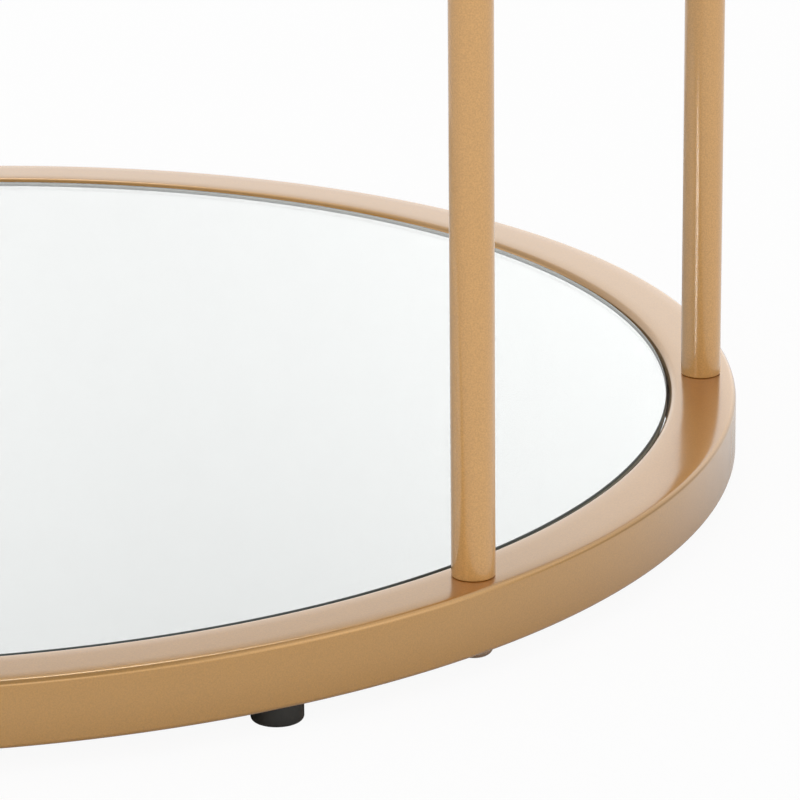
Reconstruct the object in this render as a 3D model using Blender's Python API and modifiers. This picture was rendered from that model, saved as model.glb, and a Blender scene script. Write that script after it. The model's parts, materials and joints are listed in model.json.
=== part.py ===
"""Round two-tier coffee table: two tube rings on four posts, a mirror shelf and a glass top.

Metres, +Z up. The floor is z = 0 and the table's centre line is the Z axis. The posts stand in two
pairs, one pair about +X and one about -X. Front is -Y.
"""
import math

import bpy

# Overall sizes
TABLE_DIAMETER = 0.800
TABLE_HEIGHT = 0.450

# Tube of both rings
TUBE_WIDTH = 0.032
TUBE_HEIGHT = 0.030
TUBE_WALL = 0.0015
TUBE_CORNER = 0.0024

# Posts, measured from the X axis
POST_DIAMETER = 0.0191
POST_WALL = 0.0015
POST_EDGE = 0.0005
POST_ANGLE_DEG = 23.0
PLUG_LENGTH = 0.020

# Screw thread of the bolts, post studs and feet
THREAD_DIAMETER = 0.006
THREAD_GAP = 0.0003
THREAD_TIP = 0.0006
THREAD_GRIP = 0.014
BUSH_WALL = 0.002
BUSH_LENGTH = 0.012

# Bolts under the posts
BOLT_HEAD_DIAMETER = 0.017
BOLT_HEAD_HEIGHT = 0.0044
BOLT_HEAD_EDGE = 0.0034
BOLT_SOCKET_WIDTH = 0.004
BOLT_SOCKET_DEPTH = 0.0016
BOLT_HOLE_GAP = 0.0005
WASHER_DIAMETER = 0.014
WASHER_THICKNESS = 0.0012

# Levelling feet, each a step further from the X axis than its post
FOOT_DIAMETER = 0.0226
FOOT_HEIGHT = 0.0099
FOOT_TOP_EDGE = 0.0006
FOOT_FLOOR_EDGE = 0.0016
FOOT_STEP_DEG = 15.5
FOOT_STUD_DEPTH = 0.005

# Panels set into the rings
PANEL_RECESS = 0.0012
PANEL_EDGE_GAP = 0.0010
PANEL_CHAMFER = 0.0005
MIRROR_THICKNESS = 0.005
BOARD_THICKNESS = 0.005
BOARD_SETBACK = 0.002
GLASS_THICKNESS = 0.006

# Support tabs and their pads
TAB_LENGTH = 0.024
TAB_WIDTH = 0.020
TAB_THICKNESS = 0.003
TAB_CORNER = 0.004
PAD_DIAMETER = 0.012
PAD_THICKNESS = 0.002
PAD_EDGE = 0.0005

# Air left between pieces that touch
SEAT_GAP = 0.0003

# How finely round shapes are cut
RING_STEPS = 80
POST_STEPS = 24
SMALL_STEPS = 16
CORNER_STEPS = 2

OUTER_RADIUS = TABLE_DIAMETER / 2
INNER_RADIUS = OUTER_RADIUS - TUBE_WIDTH
POST_CIRCLE = OUTER_RADIUS - TUBE_WIDTH / 2
PANEL_RADIUS = INNER_RADIUS - PANEL_EDGE_GAP
WALL_FLAT_RADIUS = INNER_RADIUS * math.cos(math.pi / RING_STEPS)

LOWER_BOTTOM = FOOT_HEIGHT + SEAT_GAP
LOWER_TOP = LOWER_BOTTOM + TUBE_HEIGHT
UPPER_TOP = TABLE_HEIGHT
UPPER_BOTTOM = UPPER_TOP - TUBE_HEIGHT
POST_BOTTOM = LOWER_TOP + SEAT_GAP
POST_TOP = UPPER_BOTTOM - SEAT_GAP

THREAD_RADIUS = THREAD_DIAMETER / 2
BORE_RADIUS = THREAD_RADIUS + THREAD_GAP
BUSH_RADIUS = BORE_RADIUS + BUSH_WALL
BUSH_HOLE_RADIUS = BUSH_RADIUS + SEAT_GAP
BOLT_HOLE_RADIUS = THREAD_RADIUS + BOLT_HOLE_GAP
POST_BORE_RADIUS = POST_DIAMETER / 2 - POST_WALL
PLUG_RADIUS = POST_BORE_RADIUS - SEAT_GAP

SIDES = {
    "right_front": (1, -1),
    "right_rear": (1, 1),
    "left_front": (-1, -1),
    "left_rear": (-1, 1),
}
TAB_TURNS = {"right": 0, "rear": 90, "left": 180, "front": 270}


def clear_scene():
    for old in list(bpy.data.objects):
        bpy.data.objects.remove(old, do_unlink=True)


def new_collection(name, parent):
    collection = bpy.data.collections.new(name)
    parent.children.link(collection)
    return collection


def make_material(name, colour, roughness, metallic=0.0, transmission=0.0, coat=0.0):
    material = bpy.data.materials.new(name)
    material.use_nodes = True
    shader = material.node_tree.nodes["Principled BSDF"]
    shader.inputs["Base Color"].default_value = (*colour, 1.0)
    shader.inputs["Roughness"].default_value = roughness
    shader.inputs["Metallic"].default_value = metallic
    shader.inputs["Transmission Weight"].default_value = transmission
    shader.inputs["Coat Weight"].default_value = coat
    material.diffuse_color = (*colour, 1.0)
    return material


def rounded_edge(centre_r, centre_z, radius, first_deg, last_deg, steps):
    """Points of an arc in the profile plane, angles measured from the radial direction."""
    points = []
    for step in range(steps + 1):
        angle = math.radians(first_deg + (last_deg - first_deg) * step / steps)
        points.append((centre_r + radius * math.cos(angle), centre_z + radius * math.sin(angle)))
    return points


def turned_mesh(name, profile, closed):
    mesh = bpy.data.meshes.new(name)
    edges = [(index, index + 1) for index in range(len(profile) - 1)]
    if closed:
        edges.append((len(profile) - 1, 0))
    mesh.from_pydata([(radius, 0.0, height) for radius, height in profile], edges, [])
    return mesh


def add_turned(name, profile, steps, collection, closed=False, place=(0.0, 0.0, 0.0)):
    """A profile of (radius, height) points, turned about the object's own Z axis."""
    piece = bpy.data.objects.new(name, turned_mesh(name, profile, closed))
    collection.objects.link(piece)
    piece.location = place
    screw = piece.modifiers.new("Turn", "SCREW")
    screw.axis = "Z"
    screw.angle = 2 * math.pi
    screw.steps = steps
    screw.render_steps = steps
    screw.use_merge_vertices = True
    screw.merge_threshold = 0.00001
    screw.use_smooth_shade = True
    return piece


def finish_round(piece, material):
    """Material, and normals that keep the flat faces flat."""
    piece.data.materials.append(material)
    piece.modifiers.new("Flat faces", "WEIGHTED_NORMAL")


def tube_profile(inner, outer, bottom, top):
    return [(inner, bottom), (inner, top), (outer, top), (outer, bottom)]


def soft_tube_profile(inner, outer, bottom, top, corner):
    """Rounded rectangle, up the inner side, over the top and down the outer side."""
    profile = rounded_edge(inner + corner, bottom + corner, corner, 270, 180, CORNER_STEPS)
    profile += rounded_edge(inner + corner, top - corner, corner, 180, 90, CORNER_STEPS)
    profile += rounded_edge(outer - corner, top - corner, corner, 90, 0, CORNER_STEPS)
    profile += rounded_edge(outer - corner, bottom + corner, corner, 0, -90, CORNER_STEPS)
    return profile


def disc_profile(radius, bottom, top, chamfer):
    return [
        (0.0, top),
        (radius - chamfer, top),
        (radius, top - chamfer),
        (radius, bottom + chamfer),
        (radius - chamfer, bottom),
        (0.0, bottom),
    ]


def as_cutter(piece):
    piece.hide_render = True
    piece.display_type = "WIRE"
    return piece


def add_hole_cutter(name, place, radius, bottom, top, collection, steps=SMALL_STEPS):
    bpy.ops.mesh.primitive_cylinder_add(
        vertices=steps,
        radius=radius,
        depth=top - bottom,
        location=(place[0], place[1], (bottom + top) / 2),
    )
    cutter = bpy.context.active_object
    cutter.name = name
    for owner in list(cutter.users_collection):
        owner.objects.unlink(cutter)
    collection.objects.link(cutter)
    return as_cutter(cutter)


def cut_by_object(piece, cutter):
    boolean = piece.modifiers.new("Cut " + cutter.name, "BOOLEAN")
    boolean.operation = "DIFFERENCE"
    boolean.solver = "EXACT"
    boolean.object = cutter


def cut_by_collection(piece, collection):
    boolean = piece.modifiers.new("Cut " + collection.name, "BOOLEAN")
    boolean.operation = "DIFFERENCE"
    boolean.solver = "EXACT"
    boolean.operand_type = "COLLECTION"
    boolean.collection = collection


def on_circle(angle_deg, side):
    """Place on the middle of the tube, an angle away from the X axis, on one of four sides."""
    angle = math.radians(angle_deg)
    return side[0] * POST_CIRCLE * math.cos(angle), side[1] * POST_CIRCLE * math.sin(angle)


def post_place(side):
    return on_circle(POST_ANGLE_DEG, side)


def foot_place(side):
    return on_circle(POST_ANGLE_DEG + FOOT_STEP_DEG, side)


def add_ring(name, bottom, top, holes, parts, cutters, material):
    """Hollow rolled tube: an outer turned shape, less its inside and its drilled holes."""
    outside = soft_tube_profile(INNER_RADIUS, OUTER_RADIUS, bottom, top, TUBE_CORNER)
    ring = add_turned(name, outside, RING_STEPS, parts, closed=True)
    inside = tube_profile(
        INNER_RADIUS + TUBE_WALL, OUTER_RADIUS - TUBE_WALL, bottom + TUBE_WALL, top - TUBE_WALL
    )
    bore = as_cutter(add_turned(name + "_bore", inside, RING_STEPS, cutters, closed=True))
    cut_by_object(ring, bore)
    cut_by_collection(ring, holes)
    finish_round(ring, material)
    return ring


def add_panel(name, bottom, top, radius, chamfer, parts, material):
    """Round panel with its origin on the centre line, at its underside."""
    profile = disc_profile(radius, 0.0, top - bottom, chamfer)
    panel = add_turned(name, profile, RING_STEPS, parts, place=(0.0, 0.0, bottom))
    finish_round(panel, material)
    return panel


def tab_outline():
    """Flat outline along +X, its outer end following the ring's inner wall."""
    half = TAB_WIDTH / 2
    outer = WALL_FLAT_RADIUS - SEAT_GAP
    inner = outer - TAB_LENGTH
    spread = math.asin(half / outer)
    points = []
    for step in range(5):
        angle = -spread + 2 * spread * step / 4
        points.append((outer * math.cos(angle), outer * math.sin(angle)))
    for step in range(CORNER_STEPS + 2):
        angle = math.radians(90 + 90 * step / (CORNER_STEPS + 1))
        points.append((
            inner + TAB_CORNER + TAB_CORNER * math.cos(angle),
            half - TAB_CORNER + TAB_CORNER * math.sin(angle),
        ))
    for step in range(CORNER_STEPS + 2):
        angle = math.radians(180 + 90 * step / (CORNER_STEPS + 1))
        points.append((
            inner + TAB_CORNER + TAB_CORNER * math.cos(angle),
            -half + TAB_CORNER + TAB_CORNER * math.sin(angle),
        ))
    return points


def add_tab(name, turn_deg, top, parts, material):
    curve = bpy.data.curves.new(name, "CURVE")
    curve.dimensions = "2D"
    curve.fill_mode = "BOTH"
    curve.extrude = TAB_THICKNESS / 2
    outline = tab_outline()
    spline = curve.splines.new("POLY")
    spline.points.add(len(outline) - 1)
    for point, (across, along) in zip(spline.points, outline):
        point.co = (across, along, 0.0, 1.0)
    spline.use_cyclic_u = True
    curve.materials.append(material)
    tab = bpy.data.objects.new(name, curve)
    parts.objects.link(tab)
    tab.location = (0.0, 0.0, top - TAB_THICKNESS / 2)
    tab.rotation_euler = (0.0, 0.0, math.radians(turn_deg))
    return tab


def add_pad(name, turn_deg, bottom, parts, material):
    distance = WALL_FLAT_RADIUS - SEAT_GAP - TAB_LENGTH / 2
    angle = math.radians(turn_deg)
    radius = PAD_DIAMETER / 2
    profile = [
        (0.0, PAD_THICKNESS),
        (radius - PAD_EDGE, PAD_THICKNESS),
        (radius, PAD_THICKNESS - PAD_EDGE),
        (radius, 0.0),
        (0.0, 0.0),
    ]
    place = (distance * math.cos(angle), distance * math.sin(angle), bottom)
    pad = add_turned(name, profile, SMALL_STEPS, parts, place=place)
    finish_round(pad, material)
    return pad


def add_supports(tier, carried_bottom, parts, tab_material, pad_material):
    """Four tabs and pads under a panel or board, stacked down from its underside."""
    pad_bottom = carried_bottom - SEAT_GAP - PAD_THICKNESS
    tab_top = pad_bottom - SEAT_GAP
    pieces = []
    for where, turn_deg in TAB_TURNS.items():
        pieces.append(add_tab(f"{tier}_tab_{where}", turn_deg, tab_top, parts, tab_material))
        pieces.append(add_pad(f"{tier}_pad_{where}", turn_deg, pad_bottom, parts, pad_material))
    return pieces


def add_post(name, place, parts, material):
    inner = POST_BORE_RADIUS
    outer = POST_DIAMETER / 2
    height = POST_TOP - POST_BOTTOM
    profile = [
        (inner, 0.0),
        (inner, height),
        (outer - POST_EDGE, height),
        (outer, height - POST_EDGE),
        (outer, POST_EDGE),
        (outer - POST_EDGE, 0.0),
    ]
    post = add_turned(
        name, profile, POST_STEPS, parts, closed=True, place=(place[0], place[1], POST_BOTTOM)
    )
    finish_round(post, material)
    return post


def add_collar(name, place, inner, outer, length, bottom, parts, material):
    """Plain round collar, used for the plugs, the threaded bushes and the washers."""
    profile = tube_profile(inner, outer, 0.0, length)
    collar = add_turned(
        name, profile, SMALL_STEPS, parts, closed=True, place=(place[0], place[1], bottom)
    )
    finish_round(collar, material)
    return collar


def add_post_stud(name, place, parts, material):
    """Plug in a post's upper end, with the stud that screws into the upper ring."""
    stud_top = UPPER_BOTTOM + THREAD_GRIP
    plug_bottom = POST_TOP - PLUG_LENGTH
    rise = stud_top - plug_bottom
    profile = [
        (0.0, rise),
        (THREAD_RADIUS - THREAD_TIP, rise),
        (THREAD_RADIUS, rise - THREAD_TIP),
        (THREAD_RADIUS, PLUG_LENGTH),
        (PLUG_RADIUS, PLUG_LENGTH),
        (PLUG_RADIUS, 0.0),
        (0.0, 0.0),
    ]
    stud = add_turned(name, profile, SMALL_STEPS, parts, place=(place[0], place[1], plug_bottom))
    finish_round(stud, material)
    return stud


def add_bolt(name, place, parts, cutters, material):
    """Bolt from below, its origin where the head bears on the washer."""
    bearing = LOWER_BOTTOM - SEAT_GAP - WASHER_THICKNESS - SEAT_GAP
    shank = POST_BOTTOM + THREAD_GRIP - bearing
    head = BOLT_HEAD_DIAMETER / 2
    floor_face = -BOLT_HEAD_HEIGHT
    profile = [
        (0.0, shank),
        (THREAD_RADIUS - THREAD_TIP, shank),
        (THREAD_RADIUS, shank - THREAD_TIP),
        (THREAD_RADIUS, 0.0),
        (head, 0.0),
    ]
    profile += rounded_edge(
        head - BOLT_HEAD_EDGE, floor_face + BOLT_HEAD_EDGE, BOLT_HEAD_EDGE, 0, -90, CORNER_STEPS + 1
    )
    profile.append((0.0, floor_face))
    bolt = add_turned(name, profile, SMALL_STEPS, parts, place=(place[0], place[1], bearing))
    socket = add_hole_cutter(
        name + "_socket",
        place,
        BOLT_SOCKET_WIDTH / 2 / math.cos(math.pi / 6),
        bearing + floor_face - BOLT_SOCKET_DEPTH,
        bearing + floor_face + BOLT_SOCKET_DEPTH,
        cutters,
        steps=6,
    )
    cut_by_object(bolt, socket)
    finish_round(bolt, material)
    return bolt


def add_foot(corner, place, parts, plastic, steel):
    """Levelling foot: a glide with its origin on the screw's axis, and the stud set in its top."""
    outer = FOOT_DIAMETER / 2
    stud_floor = FOOT_HEIGHT - FOOT_STUD_DEPTH
    profile = [
        (0.0, stud_floor),
        (BORE_RADIUS, stud_floor),
        (BORE_RADIUS, FOOT_HEIGHT),
        (outer - FOOT_TOP_EDGE, FOOT_HEIGHT),
        (outer, FOOT_HEIGHT - FOOT_TOP_EDGE),
    ]
    profile += rounded_edge(
        outer - FOOT_FLOOR_EDGE, FOOT_FLOOR_EDGE, FOOT_FLOOR_EDGE, 0, -90, CORNER_STEPS + 1
    )
    profile.append((0.0, 0.0))
    glide = add_turned(
        "foot_glide_" + corner, profile, POST_STEPS, parts, place=(place[0], place[1], 0.0)
    )
    finish_round(glide, plastic)

    stud_bottom = stud_floor + SEAT_GAP
    stud_length = LOWER_BOTTOM + THREAD_GRIP - stud_bottom
    stud_profile = [
        (0.0, stud_length),
        (THREAD_RADIUS - THREAD_TIP, stud_length),
        (THREAD_RADIUS, stud_length - THREAD_TIP),
        (THREAD_RADIUS, 0.0),
        (0.0, 0.0),
    ]
    stud = add_turned(
        "foot_stud_" + corner, stud_profile, SMALL_STEPS, parts, place=(0.0, 0.0, stud_bottom)
    )
    finish_round(stud, steel)
    stud.parent = glide
    return glide


def build_table():
    clear_scene()
    scene_root = bpy.context.scene.collection
    parts = new_collection("tiered_coffee_table", scene_root)
    cutters = new_collection("cutters", scene_root)
    lower_holes = new_collection("lower_ring_holes", cutters)
    upper_holes = new_collection("upper_ring_holes", cutters)

    gold = make_material("gold_paint", (0.46, 0.29, 0.12), 0.32, metallic=0.8, coat=0.4)
    mirror = make_material("mirror", (0.84, 0.87, 0.86), 0.03, metallic=1.0)
    glass = make_material("clear_glass", (0.93, 0.97, 0.95), 0.02, transmission=1.0)
    board = make_material("backing_board", (0.05, 0.045, 0.04), 0.7)
    plastic = make_material("black_plastic", (0.025, 0.023, 0.02), 0.5)
    steel = make_material("zinc_steel", (0.55, 0.54, 0.52), 0.35, metallic=1.0)
    bolt_finish = make_material("bronze_plate", (0.50, 0.36, 0.25), 0.3, metallic=1.0)
    silicone = make_material("clear_silicone", (0.85, 0.86, 0.86), 0.3, transmission=0.6)

    frame = bpy.data.objects.new("table_frame", None)
    parts.objects.link(frame)
    fixed = []

    wall_below = SEAT_GAP + TUBE_WALL
    for corner, side in SIDES.items():
        post_at = post_place(side)
        foot_at = foot_place(side)
        add_hole_cutter(
            "bolt_hole_" + corner,
            post_at,
            BOLT_HOLE_RADIUS,
            LOWER_BOTTOM - wall_below,
            LOWER_TOP + wall_below,
            lower_holes,
        )
        add_hole_cutter(
            "foot_hole_" + corner,
            foot_at,
            BUSH_HOLE_RADIUS,
            LOWER_BOTTOM - wall_below,
            LOWER_BOTTOM + 2 * wall_below,
            lower_holes,
        )
        add_hole_cutter(
            "stud_hole_" + corner,
            post_at,
            BUSH_HOLE_RADIUS,
            UPPER_BOTTOM - wall_below,
            UPPER_BOTTOM + 2 * wall_below,
            upper_holes,
        )

    fixed.append(add_ring("lower_ring", LOWER_BOTTOM, LOWER_TOP, lower_holes, parts, cutters, gold))
    fixed.append(add_ring("upper_ring", UPPER_BOTTOM, UPPER_TOP, upper_holes, parts, cutters, gold))

    mirror_top = LOWER_TOP - PANEL_RECESS
    mirror_bottom = mirror_top - MIRROR_THICKNESS
    fixed.append(
        add_panel("lower_mirror", mirror_bottom, mirror_top, PANEL_RADIUS, PANEL_CHAMFER, parts, mirror)
    )
    board_top = mirror_bottom - SEAT_GAP
    board_bottom = board_top - BOARD_THICKNESS
    board_radius = PANEL_RADIUS - BOARD_SETBACK
    fixed.append(
        add_panel("lower_board", board_bottom, board_top, board_radius, SEAT_GAP, parts, board)
    )
    fixed += add_supports("lower", board_bottom, parts, gold, silicone)

    glass_top = UPPER_TOP - PANEL_RECESS
    glass_bottom = glass_top - GLASS_THICKNESS
    top_panel = add_panel(
        "upper_glass", glass_bottom, glass_top, PANEL_RADIUS, PANEL_CHAMFER, parts, glass
    )
    fixed += add_supports("upper", glass_bottom, parts, gold, silicone)

    for corner, side in SIDES.items():
        post_at = post_place(side)
        foot_at = foot_place(side)
        fixed.append(add_post("post_" + corner, post_at, parts, gold))
        fixed.append(add_collar(
            "post_plug_" + corner,
            post_at,
            BORE_RADIUS,
            PLUG_RADIUS,
            PLUG_LENGTH,
            POST_BOTTOM,
            parts,
            steel,
        ))
        fixed.append(add_post_stud("post_stud_" + corner, post_at, parts, steel))
        fixed.append(add_bolt("post_bolt_" + corner, post_at, parts, cutters, bolt_finish))
        fixed.append(add_collar(
            "post_washer_" + corner,
            post_at,
            BOLT_HOLE_RADIUS,
            WASHER_DIAMETER / 2,
            WASHER_THICKNESS,
            LOWER_BOTTOM - SEAT_GAP - WASHER_THICKNESS,
            parts,
            steel,
        ))
        fixed.append(add_collar(
            "upper_bush_" + corner,
            post_at,
            BORE_RADIUS,
            BUSH_RADIUS,
            BUSH_LENGTH,
            UPPER_BOTTOM,
            parts,
            steel,
        ))
        fixed.append(add_collar(
            "foot_bush_" + corner,
            foot_at,
            BORE_RADIUS,
            BUSH_RADIUS,
            BUSH_LENGTH,
            LOWER_BOTTOM,
            parts,
            steel,
        ))
        fixed.append(add_foot(corner, foot_at, parts, plastic, steel))

    for piece in fixed + [top_panel]:
        piece.parent = frame


build_table()
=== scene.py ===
"""Looks of the round tiered coffee table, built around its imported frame."""
import json
import math

import bmesh
import bpy
from mathutils import Matrix, Vector


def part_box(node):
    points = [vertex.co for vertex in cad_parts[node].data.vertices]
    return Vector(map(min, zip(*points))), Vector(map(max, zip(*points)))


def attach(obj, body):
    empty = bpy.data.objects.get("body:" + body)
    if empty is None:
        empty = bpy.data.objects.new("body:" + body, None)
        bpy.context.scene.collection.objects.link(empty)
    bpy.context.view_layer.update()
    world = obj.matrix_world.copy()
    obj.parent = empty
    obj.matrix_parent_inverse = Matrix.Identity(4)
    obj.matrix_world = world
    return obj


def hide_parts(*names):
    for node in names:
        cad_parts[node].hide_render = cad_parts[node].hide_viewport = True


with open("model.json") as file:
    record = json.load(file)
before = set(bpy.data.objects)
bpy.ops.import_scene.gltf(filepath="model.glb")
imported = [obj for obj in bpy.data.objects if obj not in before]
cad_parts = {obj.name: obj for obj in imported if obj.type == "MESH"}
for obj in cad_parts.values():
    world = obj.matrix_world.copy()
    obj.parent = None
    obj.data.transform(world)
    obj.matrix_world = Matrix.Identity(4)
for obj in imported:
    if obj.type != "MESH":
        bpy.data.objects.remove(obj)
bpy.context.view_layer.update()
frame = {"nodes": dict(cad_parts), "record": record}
NODES = frame["nodes"]
SCENE = bpy.context.scene

CORNERS = ["right_front", "right_rear", "left_front", "left_rear"]
TAB_PLACES = {"right": 0, "rear": 90, "left": 180, "front": 270}

# Sizes that the frame doesn't give by itself, in metres
SEAT_GAP = 0.0003
CUT_MARGIN = 0.002

# Rings: tube, its corners, the crown of its top, and the holes in it
TUBE_WIDTH = 0.032
TUBE_CORNER = 0.0024
TUBE_INNER_CORNER = 0.0042
TUBE_LEAD = 0.0066
TUBE_LEAD_DROP = 0.0002
BOLT_HOLE_RADIUS = 0.0035
BUSH_HOLE_DEPTH = 0.018

# Posts, which reach a little into the gaps at their ends
POST_WALL = 0.0015
POST_EDGE = 0.0006
POST_SINK = 0.00028

# Panes and board
PANEL_CHAMFER = 0.0005
LOWER_CHAMFER_SHARE = 0.6
SILVER_THICKNESS = 0.00015
SILVER_GAP = 0.00005
BOARD_EDGE = 0.0005

# Feet
GLIDE_TOP_EDGE = 0.0007
GLIDE_FLOOR_EDGE = 0.0017
GLIDE_SOCKET_DEPTH = 0.005
GLIDE_RECESS_DEPTH = 0.0005
GLIDE_RECESS_RIM = 0.62
GLIDE_RECESS_FLOOR = 0.58
THREAD_PITCH = 0.0010
THREAD_DEPTH = 0.0005

# Bolts, washers and bushes
THREAD_RADIUS = 0.003
THREAD_TIP = 0.0006
BORE_RADIUS = 0.0033
BOLT_RIM = 0.0002
BOLT_DOME = 0.0034
BOLT_SOCKET_WIDTH = 0.004
BOLT_SOCKET_DEPTH = 0.0018
WASHER_EDGE = 0.0002
BUSH_EDGE = 0.0003

# Pads, in shares of their height or radius
PAD_EDGE_SHARE = 0.45
PAD_SHOULDER_SHARE = 0.9
PAD_SHOULDER_DEG = 75
PAD_CROWN_SHARE = 0.55
PAD_CROWN_DROP = 0.04

# Tabs and their welds
TAB_CORNER = 0.004
TAB_BEVEL = 0.0004
WELD_LEG = 0.0024
WELD_REACH = 0.85
WELD_END_SHARE = 0.35
WELD_SWELL_POWER = 0.4
WELD_RIPPLE = 0.07
WELD_RIPPLES = 9

# How finely round pieces are cut
RING_STEPS = 360
POST_STEPS = 96
SMALL_STEPS = 48
GLIDE_STEPS = 96
THREAD_STEPS = 24
THREAD_ROWS_TO_PITCH = 6
BOLT_HOLE_STEPS = 24
BUSH_HOLE_STEPS = 32
HEXAGON = 6
CORNER_STEPS = 12
LEAD_STEPS = 5
EDGE_STEPS = 4
BOARD_EDGE_STEPS = 3
FLOOR_EDGE_STEPS = 8
DOME_STEPS = 10
PAD_STEPS = 5
TAB_STEPS = 6
TAB_BEVEL_STEPS = 2
WELD_STEPS = 72
WELD_ARC_STEPS = 6

# Distances that count as on the axis, and as level
ON_AXIS_WITHIN = 1e-9
LEVEL_WITHIN = 1e-6

# Edges sharper than these angles stay sharp
SMOOTH_DEG = 40
PANE_SMOOTH_DEG = 20
THREAD_SMOOTH_DEG = 60

# Finishes. Tones are pairs of a noise level and a factor for the colour.
WHITE = (1.0, 1.0, 1.0, 1.0)
SILVER_COLOUR = (0.850, 0.858, 0.855)
PLASTIC_COLOUR = (0.013, 0.012, 0.009)
FLAKE_SCALE = 1500.0
FLAKE_TONES = [(0.30, 0.91), (0.50, 1.00), (0.72, 1.09)]
FLAKE_RELIEF = {"distance": 0.00001, "strength": 0.3}
LACQUER_CLOUD_SCALE = 60.0
LACQUER_CLOUD = 0.04
PLATING_CLOUD_SMOOTH = 0.06
PLATING_CLOUD_ROUGH = 0.08
EDGE_GRAIN_SCALE = 400.0
EDGE_RELIEF = {"distance": 0.00003, "strength": 0.4}
EDGE_ROUGHNESS = (0.45, 0.60)
# Heights on the mirror's ground edge, as shares of the pane's height: pale up to the first, then painted
# shade that darkens it up to its upper rim
EDGE_PALE_TO = 0.58
EDGE_PAINTED_SHADE_FROM = 0.86
GLASS_HAZE = 0.002
GLASS_IOR = 1.52
SILICONE_IOR = 1.41

# Camera, fitted to the ring's edges and the posts in the photograph
CAMERA_PLACE = (1.02372, -1.83578, 0.71792)
CAMERA_HEADING = -0.39533
CAMERA_PITCH = 0.31886
CAMERA_ROLL = 0.00980
CAMERA_LENS = 203.44
CAMERA_SENSOR = 36
CAMERA_RIGHT = Vector((math.cos(CAMERA_HEADING), -math.sin(CAMERA_HEADING), 0.0))

# Room: its even brightness, and bright patches given by their turn to the right of the camera's line of
# sight, their rise, the angles from their middle where they fade out and where they are full, and brightness
ROOM_EVEN = 0.45
ROOM_PATCHES = [
    (0, 6, 26, 5, 0.56),
    (-22, 10, 27, 5, 0.27),
    (22, 10, 27, 5, 0.55),
    (-85, 10, 40, 8, 0.55),
    (-125, 10, 40, 8, 0.45),
    (125, 10, 40, 8, 0.80),
    (180, 10, 40, 8, 0.55),
    (163, 19, 15, 4, 0.60),
    (-145, 21, 10, 3, 6.00),
    (-45, 38, 36, 6, 0.19),
    (45, 38, 36, 6, 0.42),
    (95, 38, 36, 6, 0.55),
    (-95, 38, 36, 6, 0.30),
    (-14, 50, 14, 4, 0.20),
    (-1, 44, 9, 3, 3.60),
    (0, 66, 32, 6, 0.20),
    (180, 80, 42, 8, 0.12),
]

# Lamp behind the table, facing a point just above the floor
LAMP_TURN_DEG = 0
LAMP_RISE_DEG = 50
LAMP_REACH = 2.4
LAMP_SIZE = (0.50, 0.42)
LAMP_BRIGHTNESS = 0.9
LAMP_AIM_HEIGHT = 0.04

# How much plain white the floor adds for rays that show it. In reflections the white fades out between two
# radii, so that the ring's lower edge mirrors the shadow under the table.
FLOOR_HALF = 12.0
FLOOR_GREY = (0.92, 0.92, 0.92, 1.0)
FLOOR_WHITE_SEEN = 0.93
FLOOR_WHITE_MIRRORED = 0.50
FLOOR_WHITE_FROM = 0.412
FLOOR_WHITE_FULL = 0.465


def span(node):
    """Lowest and highest corner of a CAD node's box, and its middle."""
    low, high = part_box(node)
    low, high = Vector(low), Vector(high)
    return low, high, (low + high) / 2


# Meshes

def link(mesh, name, smooth_deg=SMOOTH_DEG):
    mesh.validate()
    mesh.shade_smooth()
    mesh.set_sharp_from_angle(angle=math.radians(smooth_deg))
    piece = bpy.data.objects.new(name, mesh)
    SCENE.collection.objects.link(piece)
    return piece


def turned_mesh(name, profile, steps, closed=False, place=(0.0, 0.0, 0.0), materials=None):
    """Turns (radius, height) points about Z. materials gives one index for each profile edge."""
    points, faces, face_materials, rows = [], [], [], []
    for radius, height in profile:
        row = []
        count = 1 if radius < ON_AXIS_WITHIN else steps
        for step in range(count):
            angle = 2 * math.pi * step / steps
            row.append(len(points))
            points.append((
                place[0] + radius * math.cos(angle),
                place[1] + radius * math.sin(angle),
                place[2] + height,
            ))
        rows.append(row)
    edges = list(zip(rows, rows[1:]))
    if closed:
        edges.append((rows[-1], rows[0]))
    for number, (upper, lower) in enumerate(edges):
        index = materials[number] if materials else 0
        for step in range(steps):
            following = (step + 1) % steps
            corners = [
                upper[step % len(upper)],
                lower[step % len(lower)],
                lower[following % len(lower)],
                upper[following % len(upper)],
            ]
            unique = list(dict.fromkeys(corners))
            if len(unique) > 2:
                faces.append(unique)
                face_materials.append(index)
    mesh = bpy.data.meshes.new(name)
    mesh.from_pydata(points, [], faces)
    mesh.polygons.foreach_set("material_index", face_materials)
    return mesh


def turned_piece(name, profile, steps, smooth_deg=SMOOTH_DEG, **shape):
    return link(turned_mesh(name, profile, steps, **shape), name, smooth_deg)


def arc(centre_r, centre_z, radius, first_deg, last_deg, steps):
    points = []
    for step in range(steps + 1):
        angle = math.radians(first_deg + (last_deg - first_deg) * step / steps)
        points.append((centre_r + radius * math.cos(angle), centre_z + radius * math.sin(angle)))
    return points


def cylinder_cutter(place, radius, bottom, top, sides):
    profile = [(0.0, top), (radius, top), (radius, bottom), (0.0, bottom)]
    mesh = turned_mesh("cutter", profile, sides, place=(place[0], place[1], 0.0))
    cutter = bpy.data.objects.new("cutter", mesh)
    SCENE.collection.objects.link(cutter)
    return cutter


def carve(piece, cutters):
    """Cuts holes into a piece and keeps the result as its mesh."""
    for cutter in cutters:
        boolean = piece.modifiers.new("cut", "BOOLEAN")
        boolean.operation = "DIFFERENCE"
        boolean.solver = "EXACT"
        boolean.object = cutter
    graph = bpy.context.evaluated_depsgraph_get()
    carved = bpy.data.meshes.new_from_object(piece.evaluated_get(graph))
    piece.modifiers.clear()
    piece.data = carved
    carved.shade_smooth()
    carved.set_sharp_from_angle(angle=math.radians(SMOOTH_DEG))
    for cutter in cutters:
        bpy.data.objects.remove(cutter, do_unlink=True)


# Shader nodes

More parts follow.
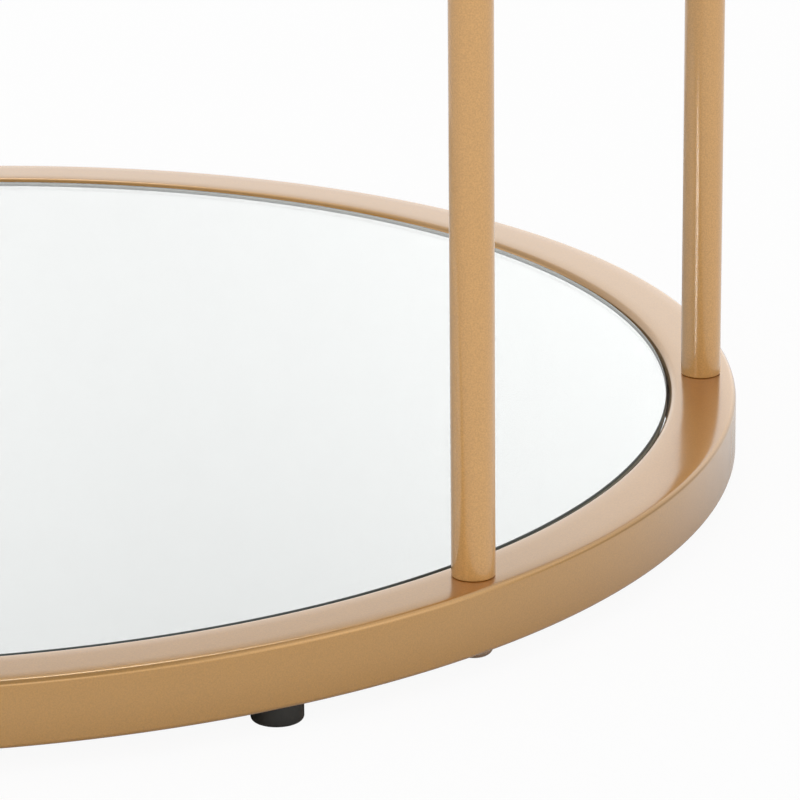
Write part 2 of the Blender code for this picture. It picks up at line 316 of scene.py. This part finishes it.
def new_material(name):
    material = bpy.data.materials.new(name)
    material.use_nodes = True
    tree = material.node_tree
    return material, tree, tree.nodes["Principled BSDF"]


def add_node(tree, kind, **inputs):
    node = tree.nodes.new(kind)
    for key, value in inputs.items():
        node.inputs[key].default_value = value
    return node


def calculate(tree, operation, *values):
    """Math node. Each value is a number or another node's output."""
    node = tree.nodes.new("ShaderNodeMath")
    node.operation = operation
    for socket, value in zip(node.inputs, values):
        if isinstance(value, float):
            socket.default_value = value
        else:
            tree.links.new(value, socket)
    return node.outputs[0]


def map_range(tree, value, source, target, smooth=False):
    """Maps one range of numbers to another, in a straight line or eased at both ends."""
    node = tree.nodes.new("ShaderNodeMapRange")
    if smooth:
        node.interpolation_type = "SMOOTHSTEP"
    node.inputs["From Min"].default_value, node.inputs["From Max"].default_value = source
    node.inputs["To Min"].default_value, node.inputs["To Max"].default_value = target
    tree.links.new(value, node.inputs["Value"])
    return node.outputs["Result"]


def noise(tree, scale, detail=2.0, stretch=(1.0, 1.0, 1.0)):
    """Noise in the object's own metres, scale in patches to the metre."""
    place = tree.nodes.new("ShaderNodeTexCoord")
    mapping = add_node(tree, "ShaderNodeMapping", Scale=stretch)
    tree.links.new(place.outputs["Object"], mapping.inputs["Vector"])
    texture = add_node(tree, "ShaderNodeTexNoise", Scale=scale, Detail=detail)
    tree.links.new(mapping.outputs["Vector"], texture.inputs["Vector"])
    return texture.outputs["Fac"]


def ramp(tree, value, stops):
    node = tree.nodes.new("ShaderNodeValToRGB")
    node.color_ramp.elements[0].position = stops[0][0]
    node.color_ramp.elements[0].color = stops[0][1]
    node.color_ramp.elements[1].position = stops[-1][0]
    node.color_ramp.elements[1].color = stops[-1][1]
    for position, colour in stops[1:-1]:
        node.color_ramp.elements.new(position).color = colour
    tree.links.new(value, node.inputs["Fac"])
    return node.outputs["Color"]


def bump(tree, shader, value, distance, strength):
    node = add_node(tree, "ShaderNodeBump", Strength=strength, Distance=distance)
    tree.links.new(value, node.inputs["Height"])
    tree.links.new(node.outputs["Normal"], shader.inputs["Normal"])


def spread_roughness(tree, shader, value, low, high):
    tree.links.new(map_range(tree, value, (0.0, 1.0), (low, high)), shader.inputs["Roughness"])


def tone(colour, factor=1.0):
    return (colour[0] * factor, colour[1] * factor, colour[2] * factor, 1.0)


# Finishes

def gold_paint(name, gold, metallic, roughness, coat_roughness, coat_ior):
    """Satin metallic lacquer: fine flake in the colour, a smooth clear coat over it."""
    material, tree, shader = new_material(name)
    flake = noise(tree, FLAKE_SCALE, detail=1.0)
    stops = [(position, tone(gold, factor)) for position, factor in FLAKE_TONES]
    tree.links.new(ramp(tree, flake, stops), shader.inputs["Base Color"])
    cloud = noise(tree, LACQUER_CLOUD_SCALE)
    spread_roughness(tree, shader, cloud, roughness, roughness + LACQUER_CLOUD)
    shader.inputs["Metallic"].default_value = metallic
    shader.inputs["Coat Weight"].default_value = 1.0
    shader.inputs["Coat Roughness"].default_value = coat_roughness
    shader.inputs["Coat IOR"].default_value = coat_ior
    bump(tree, shader, flake, **FLAKE_RELIEF)
    return material


def ground_edge(name, pale, painted_shade, pane):
    """Ground glass edge: matt, grey-green, with painted shade darkening it along its upper rim."""
    material, tree, shader = new_material(name)
    grain = noise(tree, EDGE_GRAIN_SCALE, detail=3.0)
    low, high, _ = pane
    place = tree.nodes.new("ShaderNodeTexCoord")
    parts = tree.nodes.new("ShaderNodeSeparateXYZ")
    tree.links.new(place.outputs["Object"], parts.inputs[0])
    rise = map_range(tree, parts.outputs["Z"], (low.z, high.z), (0.0, 1.0))
    # Painted shade: the edge's colour darkens towards its upper rim.
    stops = [(EDGE_PALE_TO, tone(pale)), (EDGE_PAINTED_SHADE_FROM, tone(painted_shade))]
    tree.links.new(ramp(tree, rise, stops), shader.inputs["Base Color"])
    spread_roughness(tree, shader, grain, *EDGE_ROUGHNESS)
    bump(tree, shader, grain, **EDGE_RELIEF)
    return material


def mottled(name, scale, between, shades, roughness, grain=None, relief=None, sockets=None):
    """Finish whose colour and roughness follow one noise, from the first shade to the second."""
    material, tree, shader = new_material(name)
    cloud = noise(tree, scale, **(grain or {}))
    tree.links.new(ramp(tree, cloud, list(zip(between, shades))), shader.inputs["Base Color"])
    spread_roughness(tree, shader, cloud, *roughness)
    for socket, value in (sockets or {}).items():
        shader.inputs[socket].default_value = value
    if relief:
        bump(tree, shader, cloud, **relief)
    return material


def clear_glass(name, colour, roughness=0.0):
    return mottled(
        name,
        scale=30.0,
        between=(0.35, 0.65),
        shades=(tone(colour, 0.998), tone(colour)),
        roughness=(roughness, roughness + GLASS_HAZE),
        sockets={"Transmission Weight": 1.0, "IOR": GLASS_IOR},
    )


def plated_steel(name, colour, roughness):
    return mottled(
        name,
        scale=220.0,
        between=(0.3, 0.7),
        shades=(tone(colour, 0.88), tone(colour, 1.08)),
        roughness=(roughness - PLATING_CLOUD_SMOOTH, roughness + PLATING_CLOUD_ROUGH),
        grain={"detail": 3.0},
        relief={"distance": 0.00002, "strength": 0.3},
        sockets={"Metallic": 1.0},
    )


GOLD = gold_paint(
    "gold_paint",
    (0.468, 0.226, 0.025),
    metallic=0.90,
    roughness=0.30,
    coat_roughness=0.14,
    coat_ior=1.95,
)
# The posts' gold is lighter than the ring's. Their satin finish is their own, but the lighter tone is partly
# painted light, standing in for the brighter floor the posts mirror.
POST_GOLD_WITH_PAINTED_LIGHT = gold_paint(
    "gold_paint_posts_with_painted_light",
    (0.630, 0.342, 0.106),
    metallic=0.30,
    roughness=0.46,
    coat_roughness=0.14,
    coat_ior=1.60,
)
MIRROR_GLASS = clear_glass("mirror_glass", (0.985, 0.995, 0.991))
# The edge's darker colour is painted shade along its upper rim.
MIRROR_EDGE = ground_edge(
    "mirror_edge", pale=(0.74, 0.77, 0.70), painted_shade=(0.070, 0.084, 0.080), pane=span("lower_mirror")
)
TOP_GLASS = clear_glass("top_glass", (0.955, 0.98, 0.97))
TOP_EDGE = clear_glass("top_edge", (0.62, 0.78, 0.71), roughness=0.05)
ZINC = plated_steel("zinc_steel", (0.55, 0.54, 0.52), roughness=0.32)
BRONZE = plated_steel("bronze_plate", (0.50, 0.36, 0.26), roughness=0.26)
SILVER = mottled(
    "silvering",
    scale=25.0,
    between=(0.35, 0.65),
    shades=(tone(SILVER_COLOUR, 0.999), tone(SILVER_COLOUR)),
    roughness=(0.0, GLASS_HAZE),
    sockets={"Metallic": 1.0},
)
PLASTIC = mottled(
    "black_plastic",
    scale=2500.0,
    between=(0.3, 0.7),
    shades=(tone(PLASTIC_COLOUR, 0.8), tone(PLASTIC_COLOUR, 1.2)),
    roughness=(0.42, 0.58),
    relief={"distance": 0.00004, "strength": 0.5},
)
# Fibreboard under thin black paint, its fibres just showing
BOARD = mottled(
    "painted_board",
    scale=350.0,
    between=(0.35, 0.7),
    shades=(tone((0.018, 0.017, 0.016)), tone((0.034, 0.031, 0.028))),
    roughness=(0.55, 0.75),
    grain={"detail": 4.0, "stretch": (1.0, 0.25, 1.0)},
    relief={"distance": 0.00006, "strength": 0.5},
)
SILICONE = mottled(
    "clear_silicone",
    scale=300.0,
    between=(0.3, 0.7),
    shades=(tone((0.80, 0.81, 0.80)), tone((0.90, 0.91, 0.90))),
    roughness=(0.22, 0.36),
    sockets={"Transmission Weight": 0.7, "IOR": SILICONE_IOR},
)

SLOT_OF = {
    "gold_paint": GOLD,
    "mirror": SILVER,
    "clear_glass": TOP_GLASS,
    "backing_board": BOARD,
    "black_plastic": PLASTIC,
    "zinc_steel": ZINC,
    "bronze_plate": BRONZE,
    "clear_silicone": SILICONE,
}


def dress_nodes():
    """The frame's own nodes take the same finishes as the pieces made here."""
    for entry in frame["record"]["subparts"]:
        node = NODES[entry["node"]]
        node.data.materials.clear()
        node.data.materials.append(SLOT_OF[entry["material_slot"]])


def settle(piece, node, body, materials):
    for material in materials:
        piece.data.materials.append(material)
    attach(piece, body)
    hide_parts(node)


# Pieces

def tube_top(inner, outer, top):
    """Upper half of a rolled tube's section, from inner to outer wall, its top slightly crowned."""
    slope = math.atan(2 * TUBE_LEAD_DROP / TUBE_LEAD)
    points = []
    for wall, corner, side in ((inner, TUBE_INNER_CORNER, 1), (outer, TUBE_CORNER, -1)):
        flank = []
        centre = top - TUBE_LEAD_DROP - corner * math.cos(slope)
        for step in range(CORNER_STEPS + 1):
            tilt = math.pi / 2 + (slope - math.pi / 2) * step / CORNER_STEPS
            flank.append((
                wall + side * corner * (1 - math.sin(tilt)),
                centre + corner * math.cos(tilt),
            ))
        lead_end = flank[-1][0]
        for step in range(1, LEAD_STEPS + 1):
            share = step / LEAD_STEPS
            flank.append((lead_end + side * TUBE_LEAD * share, top - TUBE_LEAD_DROP * (1 - share) ** 2))
        points += flank if side > 0 else list(reversed(flank))
    return points


def make_ring(tier):
    node = tier + "_ring"
    low, high, _ = span(node)
    outer = high.x
    inner = outer - TUBE_WIDTH
    upper = tube_top(inner, outer, high.z)
    profile = upper + [(radius, low.z + high.z - height) for radius, height in reversed(upper)]
    ring = turned_piece(node + "_tube", profile, RING_STEPS, closed=True)
    below, above = low.z - CUT_MARGIN, high.z + CUT_MARGIN
    cutters = []
    for corner_name in CORNERS:
        if tier == "lower":
            _, _, bolt = span("post_bolt_" + corner_name)
            cutters.append(cylinder_cutter(bolt, BOLT_HOLE_RADIUS, below, above, BOLT_HOLE_STEPS))
            bush_low, bush_high, bush = span("foot_bush_" + corner_name)
        else:
            bush_low, bush_high, bush = span("upper_bush_" + corner_name)
        radius = (bush_high.x - bush_low.x) / 2 + SEAT_GAP
        cutters.append(cylinder_cutter(bush, radius, below, low.z + BUSH_HOLE_DEPTH, BUSH_HOLE_STEPS))
    carve(ring, cutters)
    settle(ring, node, "frame", [GOLD])


def make_post(corner_name):
    node = "post_" + corner_name
    low, high, middle = span(node)
    outer = (high.x - low.x) / 2
    inner = outer - POST_WALL
    height = high.z - low.z + 2 * POST_SINK
    profile = [(inner, 0.0), (inner, height)]
    profile += arc(outer - POST_EDGE, height - POST_EDGE, POST_EDGE, 90, 0, EDGE_STEPS)
    profile += arc(outer - POST_EDGE, POST_EDGE, POST_EDGE, 0, -90, EDGE_STEPS)
    place = (middle.x, middle.y, low.z - POST_SINK)
    post = turned_piece(node + "_tube", profile, POST_STEPS, closed=True, place=place)
    settle(post, node, "frame", [POST_GOLD_WITH_PAINTED_LIGHT])


def pane_profile(radius, bottom, top):
    """Profile of a pane with ground edges, and one material index for each of its edges."""
    upper, lower = PANEL_CHAMFER, PANEL_CHAMFER * LOWER_CHAMFER_SHARE
    profile = [
        (0.0, top),
        (radius - upper, top),
        (radius, top - upper),
        (radius, bottom + lower),
        (radius - lower, bottom),
        (0.0, bottom),
    ]
    return profile, [0, 1, 1, 1, 0]


def make_mirror():
    """Pane of clear glass, silvered underneath."""
    low, high, _ = span("lower_mirror")
    radius = high.x
    profile, indexes = pane_profile(radius, low.z + SILVER_THICKNESS + SILVER_GAP, high.z)
    pane = turned_piece("mirror_pane", profile, RING_STEPS, PANE_SMOOTH_DEG, materials=indexes)
    settle(pane, "lower_mirror", "mirror_shelf", [MIRROR_GLASS, MIRROR_EDGE])
    coat = radius - PANEL_CHAMFER
    sheet = [
        (0.0, low.z + SILVER_THICKNESS),
        (coat, low.z + SILVER_THICKNESS),
        (coat, low.z),
        (0.0, low.z),
    ]
    back = turned_piece("mirror_silvering", sheet, RING_STEPS, PANE_SMOOTH_DEG)
    settle(back, "lower_mirror", "mirror_shelf", [SILVER])


def make_glass_top():
    low, high, _ = span("upper_glass")
    profile, indexes = pane_profile(high.x, low.z, high.z)
    pane = turned_piece("top_pane", profile, RING_STEPS, PANE_SMOOTH_DEG, materials=indexes)
    settle(pane, "upper_glass", "glass_top", [TOP_GLASS, TOP_EDGE])


def make_board():
    low, high, _ = span("lower_board")
    rim = high.x - BOARD_EDGE
    profile = [(0.0, high.z)]
    profile += arc(rim, high.z - BOARD_EDGE, BOARD_EDGE, 90, 0, BOARD_EDGE_STEPS)
    profile += arc(rim, low.z + BOARD_EDGE, BOARD_EDGE, 0, -90, BOARD_EDGE_STEPS)
    profile.append((0.0, low.z))
    board = turned_piece("board_disc", profile, RING_STEPS)
    settle(board, "lower_board", "mirror_shelf", [BOARD])


def make_glide(corner_name):
    """Moulded foot: a barrel with a soft lower edge, a socket for its stud and a shallow recess below."""
    node = "foot_glide_" + corner_name
    low, high, middle = span(node)
    outer = (high.x - low.x) / 2
    height = high.z - low.z
    socket = height - GLIDE_SOCKET_DEPTH
    profile = [(0.0, socket), (BORE_RADIUS, socket), (BORE_RADIUS, height)]
    profile += arc(outer - GLIDE_TOP_EDGE, height - GLIDE_TOP_EDGE, GLIDE_TOP_EDGE, 90, 0, EDGE_STEPS)
    profile += arc(outer - GLIDE_FLOOR_EDGE, GLIDE_FLOOR_EDGE, GLIDE_FLOOR_EDGE, 0, -90, FLOOR_EDGE_STEPS)
    profile.append((outer * GLIDE_RECESS_RIM, 0.0))
    profile += [(outer * GLIDE_RECESS_FLOOR, GLIDE_RECESS_DEPTH), (0.0, GLIDE_RECESS_DEPTH)]
    place = (middle.x, middle.y, low.z)
    glide = turned_piece(node + "_moulding", profile, GLIDE_STEPS, place=place)
    settle(glide, node, "foot_" + corner_name, [PLASTIC])


def thread_mesh(name, place, radius, length):
    """Rod with a right-handed screw thread that fades out over one pitch at both ends."""
    steps = THREAD_STEPS
    rows = int(round(length / THREAD_PITCH * THREAD_ROWS_TO_PITCH))
    points, faces = [], []
    for row in range(rows + 1):
        height = length * row / rows
        from_end = min(height, length - height)
        fade = min(1.0, max(0.0, from_end / THREAD_PITCH))
        for step in range(steps):
            phase = (height / THREAD_PITCH - step / steps) % 1.0
            crest = 1.0 - abs(2.0 * phase - 1.0)
            depth = THREAD_DEPTH * (1.0 - fade * crest)
            angle = 2 * math.pi * step / steps
            points.append((
                place[0] + (radius - depth) * math.cos(angle),
                place[1] + (radius - depth) * math.sin(angle),
                place[2] + height,
            ))
    for row in range(rows):
        for step in range(steps):
            following = (step + 1) % steps
            faces.append((
                row * steps + step,
                row * steps + following,
                (row + 1) * steps + following,
                (row + 1) * steps + step,
            ))
    faces.append(tuple(reversed(range(steps))))
    faces.append(tuple(rows * steps + step for step in range(steps)))
    mesh = bpy.data.meshes.new(name)
    mesh.from_pydata(points, [], faces)
    return mesh


def make_foot_stud(corner_name):
    node = "foot_stud_" + corner_name
    low, high, middle = span(node)
    place = (middle.x, middle.y, low.z)
    mesh = thread_mesh(node + "_thread", place, (high.x - low.x) / 2, high.z - low.z)
    stud = link(mesh, node + "_thread", THREAD_SMOOTH_DEG)
    settle(stud, node, "foot_" + corner_name, [ZINC])


def make_bolt(corner_name):
    """Furniture bolt: a wide domed head with a hexagon socket."""
    node = "post_bolt_" + corner_name
    low, high, middle = span(node)
    washer_low, _, _ = span("post_washer_" + corner_name)
    bearing = washer_low.z - SEAT_GAP
    head = (high.x - low.x) / 2
    profile = [(0.0, high.z), (THREAD_RADIUS - THREAD_TIP, high.z)]
    profile += [(THREAD_RADIUS, high.z - THREAD_TIP), (THREAD_RADIUS, bearing)]
    profile += [(head - BOLT_RIM, bearing), (head, bearing - BOLT_RIM)]
    profile += arc(head - BOLT_DOME, low.z + BOLT_DOME, BOLT_DOME, 0, -90, DOME_STEPS)
    profile.append((0.0, low.z))
    place = (middle.x, middle.y, 0.0)
    bolt = turned_piece(node + "_turned", profile, SMALL_STEPS, place=place)
    socket = BOLT_SOCKET_WIDTH / 2 / math.cos(math.pi / HEXAGON)
    bottom, top = low.z - CUT_MARGIN, low.z + BOLT_SOCKET_DEPTH
    carve(bolt, [cylinder_cutter(middle, socket, bottom, top, HEXAGON)])
    settle(bolt, node, "frame", [BRONZE])


def make_collar(node, inner, edge):
    """Washer or bush with its edges broken."""
    low, high, middle = span(node)
    outer = (high.x - low.x) / 2
    profile = [
        (inner, low.z + edge),
        (inner, high.z - edge),
        (inner + edge, high.z),
        (outer - edge, high.z),
        (outer, high.z - edge),
        (outer, low.z + edge),
        (outer - edge, low.z),
        (inner + edge, low.z),
    ]
    place = (middle.x, middle.y, 0.0)
    collar = turned_piece(node + "_turned", profile, SMALL_STEPS, closed=True, place=place)
    settle(collar, node, "frame", [ZINC])


def make_pad(tier, where):
    """Clear bumper with a low dome."""
    node = f"{tier}_pad_{where}"
    low, high, middle = span(node)
    radius = (high.x - low.x) / 2
    height = high.z - low.z
    edge = height * PAD_EDGE_SHARE
    shoulder = height * PAD_SHOULDER_SHARE - edge
    profile = [(0.0, height), (radius * PAD_CROWN_SHARE, height - height * PAD_CROWN_DROP)]
    profile += arc(radius - edge, shoulder, edge, PAD_SHOULDER_DEG, 0, PAD_STEPS)
    profile += [(radius, 0.0), (0.0, 0.0)]
    place = (middle.x, middle.y, low.z)
    pad = turned_piece(node + "_dome", profile, SMALL_STEPS, place=place)
    settle(pad, node, "frame", [SILICONE])


def add_weld(shape, wall, half, underside):
    """Rippled bead in the corner between a tab's underside and the ring's wall."""
    reach = math.asin(half / wall) * WELD_REACH
    rows = []
    for step in range(WELD_STEPS + 1):
        share = step / WELD_STEPS
        angle = reach * (2 * share - 1)
        ripple = 1 + WELD_RIPPLE * math.sin(2 * math.pi * WELD_RIPPLES * share)
        swell = WELD_END_SHARE + (1 - WELD_END_SHARE) * math.sin(math.pi * share) ** WELD_SWELL_POWER
        section = [(wall + SEAT_GAP, underside + SEAT_GAP)]
        section += arc(wall, underside + SEAT_GAP / 2, WELD_LEG * swell * ripple, 180, 270, WELD_ARC_STEPS)
        rows.append([
            shape.verts.new((radius * math.cos(angle), radius * math.sin(angle), height))
            for radius, height in section
        ])
    bead = [shape.faces.new(rows[0]), shape.faces.new(rows[-1])]
    for first, second in zip(rows, rows[1:]):
        for number in range(len(first)):
            corners = (first[number - 1], first[number], second[number], second[number - 1])
            bead.append(shape.faces.new(corners))
    bmesh.ops.recalc_face_normals(shape, faces=bead)


def make_tab(tier, where, turn_deg):
    """Pressed tab with soft edges, and the weld under its outer end."""
    node = f"{tier}_tab_{where}"
    low, high, _ = span(f"{tier}_tab_right")
    half = (high.y - low.y) / 2
    outer = high.x
    outline = []
    for step in range(TAB_STEPS + 1):
        angle = math.asin(half / outer) * (2 * step / TAB_STEPS - 1)
        outline.append((outer * math.cos(angle), outer * math.sin(angle)))
    outline += arc(low.x + TAB_CORNER, half - TAB_CORNER, TAB_CORNER, 90, 180, TAB_STEPS)
    outline += arc(low.x + TAB_CORNER, TAB_CORNER - half, TAB_CORNER, 180, 270, TAB_STEPS)
    shape = bmesh.new()
    ring = [shape.verts.new((across, along, low.z)) for across, along in outline]
    face = shape.faces.new(ring)
    raised = bmesh.ops.extrude_face_region(shape, geom=[face])
    for vert in raised["geom"]:
        if isinstance(vert, bmesh.types.BMVert):
            vert.co.z = high.z
    bmesh.ops.recalc_face_normals(shape, faces=shape.faces)
    rims = [edge for edge in shape.edges if abs(edge.verts[0].co.z - edge.verts[1].co.z) < LEVEL_WITHIN]
    bmesh.ops.bevel(shape, geom=rims, offset=TAB_BEVEL, segments=TAB_BEVEL_STEPS, affect="EDGES")
    add_weld(shape, outer + SEAT_GAP, half, low.z)
    turn = Matrix.Rotation(math.radians(turn_deg), 3, "Z")
    bmesh.ops.rotate(shape, verts=shape.verts, cent=(0, 0, 0), matrix=turn)
    mesh = bpy.data.meshes.new(node + "_plate")
    shape.to_mesh(mesh)
    shape.free()
    tab = link(mesh, node + "_plate")
    settle(tab, node, "frame", [GOLD])


def make_pieces():
    dress_nodes()
    for tier in ("lower", "upper"):
        make_ring(tier)
        for where, turn_deg in TAB_PLACES.items():
            make_tab(tier, where, turn_deg)
            make_pad(tier, where)
    make_mirror()
    make_board()
    make_glass_top()
    for corner_name in CORNERS:
        make_post(corner_name)
        make_glide(corner_name)
        make_foot_stud(corner_name)
        make_bolt(corner_name)
        make_collar("post_washer_" + corner_name, BOLT_HOLE_RADIUS, WASHER_EDGE)
        make_collar("foot_bush_" + corner_name, BORE_RADIUS, BUSH_EDGE)
        make_collar("upper_bush_" + corner_name, BORE_RADIUS, BUSH_EDGE)


# Stage

def make_floor():
    """White floor that keeps a soft shadow and shows white to the camera and in reflections."""
    half = FLOOR_HALF
    mesh = bpy.data.meshes.new("floor")
    mesh.from_pydata(
        [(-half, -half, 0), (half, -half, 0), (half, half, 0), (-half, half, 0)], [], [(0, 1, 2, 3)]
    )
    floor = bpy.data.objects.new("floor", mesh)
    SCENE.collection.objects.link(floor)
    material = bpy.data.materials.new("floor")
    material.use_nodes = True
    tree = material.node_tree
    tree.nodes.clear()
    matt = add_node(tree, "ShaderNodeBsdfDiffuse", Color=FLOOR_GREY)
    white = add_node(tree, "ShaderNodeEmission", Color=WHITE, Strength=1.0)
    away = tree.nodes.new("ShaderNodeVectorMath")
    away.operation = "LENGTH"
    tree.links.new(tree.nodes.new("ShaderNodeNewGeometry").outputs["Position"], away.inputs[0])
    radii, shares = (FLOOR_WHITE_FROM, FLOOR_WHITE_FULL), (0.0, FLOOR_WHITE_MIRRORED)
    rays = tree.nodes.new("ShaderNodeLightPath").outputs
    seen = calculate(tree, "MULTIPLY", rays["Is Camera Ray"], FLOOR_WHITE_SEEN)
    bounced = calculate(tree, "MAXIMUM", rays["Is Glossy Ray"], rays["Is Transmission Ray"])
    mirrored = calculate(tree, "MULTIPLY", bounced, map_range(tree, away.outputs["Value"], radii, shares))
    mix = tree.nodes.new("ShaderNodeMixShader")
    tree.links.new(calculate(tree, "MAXIMUM", seen, mirrored), mix.inputs[0])
    tree.links.new(matt.outputs[0], mix.inputs[1])
    tree.links.new(white.outputs[0], mix.inputs[2])
    out = tree.nodes.new("ShaderNodeOutputMaterial")
    tree.links.new(mix.outputs[0], out.inputs["Surface"])
    floor.data.materials.append(material)


def aim(turn_deg, rise_deg):
    """Direction from the table. The turn is measured from the camera's line of sight to its right."""
    turn, rise = math.radians(turn_deg), math.radians(rise_deg)
    ahead = Vector((math.sin(CAMERA_HEADING), math.cos(CAMERA_HEADING), 0.0))
    level = ahead * math.cos(turn) + CAMERA_RIGHT * math.sin(turn)
    return level * math.cos(rise) + Vector((0.0, 0.0, math.sin(rise)))


def patch(tree, direction, turn_deg, rise_deg, fade_deg, full_deg, brightness):
    """Brightness that rises as the direction nears the middle of a patch."""
    facing = tree.nodes.new("ShaderNodeVectorMath")
    facing.operation = "DOT_PRODUCT"
    facing.inputs[1].default_value = aim(turn_deg, rise_deg)
    tree.links.new(direction, facing.inputs[0])
    nearing = (math.cos(math.radians(fade_deg)), math.cos(math.radians(full_deg)))
    return map_range(tree, facing.outputs["Value"], nearing, (0.0, brightness), smooth=True)


def make_world():
    """Pale room: an even grey with soft bright patches, plain white where the camera looks past the floor."""
    world = bpy.data.worlds.new("studio")
    SCENE.world = world
    world.use_nodes = True
    tree = world.node_tree
    background = tree.nodes["Background"]
    background.inputs["Color"].default_value = WHITE
    direction = tree.nodes.new("ShaderNodeTexCoord").outputs["Generated"]
    level = ROOM_EVEN
    for values in ROOM_PATCHES:
        level = calculate(tree, "ADD", level, patch(tree, direction, *values))
    path = tree.nodes.new("ShaderNodeLightPath")
    shown = tree.nodes.new("ShaderNodeMix")
    shown.data_type = "FLOAT"
    shown.inputs["B"].default_value = 1.0
    tree.links.new(path.outputs["Is Camera Ray"], shown.inputs["Factor"])
    tree.links.new(level, shown.inputs["A"])
    tree.links.new(shown.outputs["Result"], background.inputs["Strength"])


def make_lamp():
    """Area lamp that faces the table."""
    place = aim(LAMP_TURN_DEG, LAMP_RISE_DEG) * LAMP_REACH
    lamp = bpy.data.lights.new("back_box", "AREA")
    lamp.shape = "RECTANGLE"
    lamp.size, lamp.size_y = LAMP_SIZE
    lamp.energy = LAMP_BRIGHTNESS * math.pi * LAMP_SIZE[0] * LAMP_SIZE[1]
    holder = bpy.data.objects.new("back_box", lamp)
    SCENE.collection.objects.link(holder)
    holder.location = place + Vector((0, 0, LAMP_AIM_HEIGHT))
    holder.rotation_euler = (-place).to_track_quat("-Z", "Y").to_euler()


def make_camera():
    lens = bpy.data.cameras.new("camera")
    lens.lens = CAMERA_LENS
    lens.sensor_width = CAMERA_SENSOR
    camera = bpy.data.objects.new("camera", lens)
    SCENE.collection.objects.link(camera)
    level = math.cos(CAMERA_PITCH)
    forward = Vector((
        math.sin(CAMERA_HEADING) * level,
        math.cos(CAMERA_HEADING) * level,
        -math.sin(CAMERA_PITCH),
    ))
    down = forward.cross(CAMERA_RIGHT)
    across = CAMERA_RIGHT * math.cos(CAMERA_ROLL) + down * math.sin(CAMERA_ROLL)
    below = down * math.cos(CAMERA_ROLL) - CAMERA_RIGHT * math.sin(CAMERA_ROLL)
    turn = Matrix((across, -below, -forward)).transposed().to_4x4()
    camera.matrix_world = Matrix.Translation(CAMERA_PLACE) @ turn
    SCENE.camera = camera


SCENE.view_settings.view_transform = "Standard"
make_camera()
make_pieces()
make_floor()
make_world()
make_lamp()
